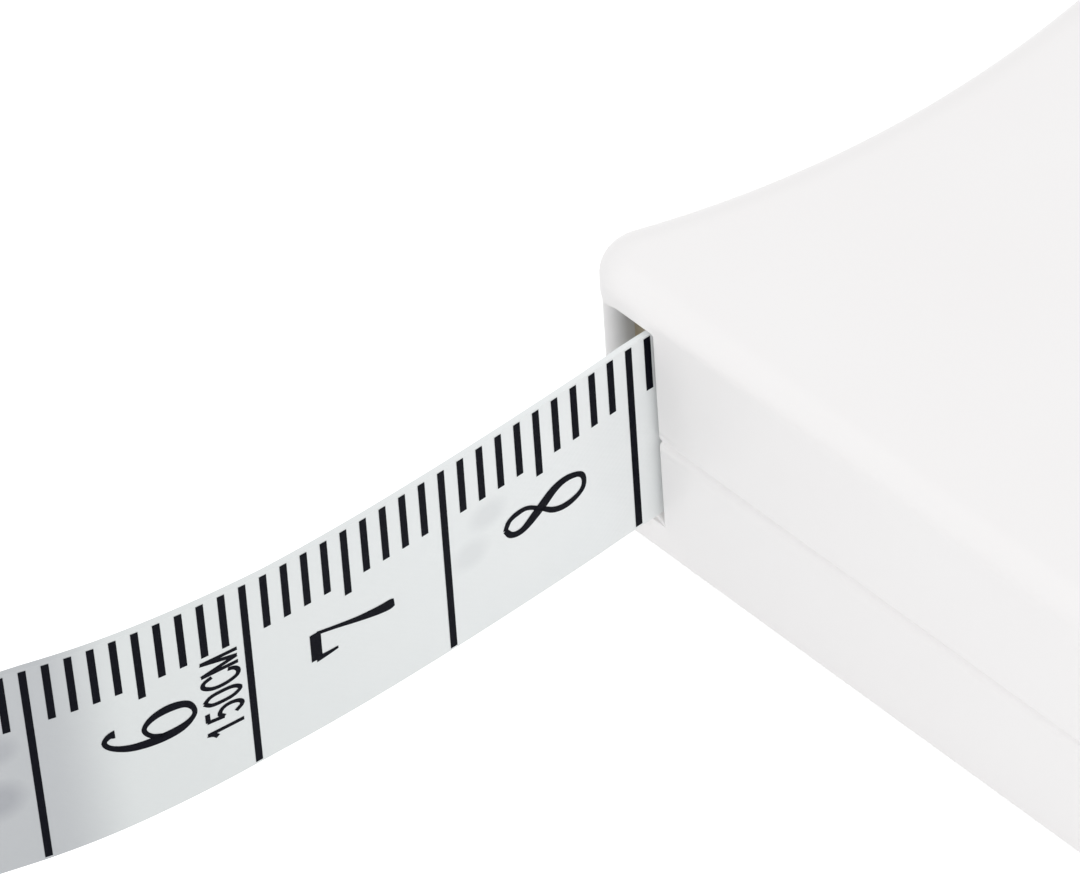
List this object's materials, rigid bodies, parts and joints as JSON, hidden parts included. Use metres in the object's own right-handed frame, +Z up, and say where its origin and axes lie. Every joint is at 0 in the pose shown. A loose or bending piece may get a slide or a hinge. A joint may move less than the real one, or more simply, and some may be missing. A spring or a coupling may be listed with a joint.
{
  "type": "retractable cloth tape measure",
  "caption": "Flat waisted case with a printed cloth tape standing on edge out of a slot at one horn, a sprung reel inside and a centre push button that frees its brake.",
  "frame": {"origin": "under the middle of the case, on the surface that it lies on", "axes": "+X along the straight flank from the tape's horn to the other, +Y from the flank to the round head, +Z up out of the button's face"},
  "size_m": [0.0858, 0.1479, 0.0184],
  "materials": {
    "white_abs": "fine satin moulded ABS",
    "plated_steel": "zinc plated",
    "grey_acetal": "moulded acetal",
    "brake_rubber": "moulded rubber",
    "spring_steel": "blued strip and wire",
    "tape_cloth": "coated glass cloth, printed scale"
  },
  "bodies": {
    "case": {"lower_shell": "white_abs", "upper_shell": "white_abs", "case_screw_front_right": "plated_steel", "case_screw_front_left": "plated_steel", "case_screw_back_right": "plated_steel", "case_screw_back_left": "plated_steel", "lower_wear_ring": "grey_acetal", "upper_wear_ring": "grey_acetal", "power_spring": "spring_steel", "button_spring": "spring_steel"},
    "reel": {"reel_drum": "grey_acetal", "reel_lid": "grey_acetal", "tape_anchor": "grey_acetal", "tape_winding": "tape_cloth"},
    "tape": {"free_tape": "tape_cloth", "finger_tab": "white_abs", "tab_rivet_lower": "plated_steel", "tab_rivet_upper": "plated_steel"},
    "button": {"push_button": "white_abs", "brake_plunger": "grey_acetal", "brake_pad": "brake_rubber"}
  },
  "joints": [
    {"name": "reel_spin", "type": "hinge", "parent": "case", "child": "reel", "pos_m": [0, 0.0081, 0.00905], "axis": [0, 0, 1], "range_deg": [0, 5122], "deforming": ["power_spring"]},
    {"name": "tape_draw", "type": "slide", "parent": "case", "child": "tape", "axis": [-0.2218, -0.9751, 0], "range_m": [0, 1.419], "deforming": ["free_tape"]},
    {"name": "button_press", "type": "slide", "parent": "case", "child": "button", "axis": [0, 0, -1], "range_m": [0, 0.0016], "stiffness_N_per_m": 500, "springref_m": -0.002, "deforming": ["button_spring"]}
  ],
  "couplings": [
    {"joint": "tape_draw", "follows": "reel_spin", "m_per_rad": 0.015872}
  ]
}
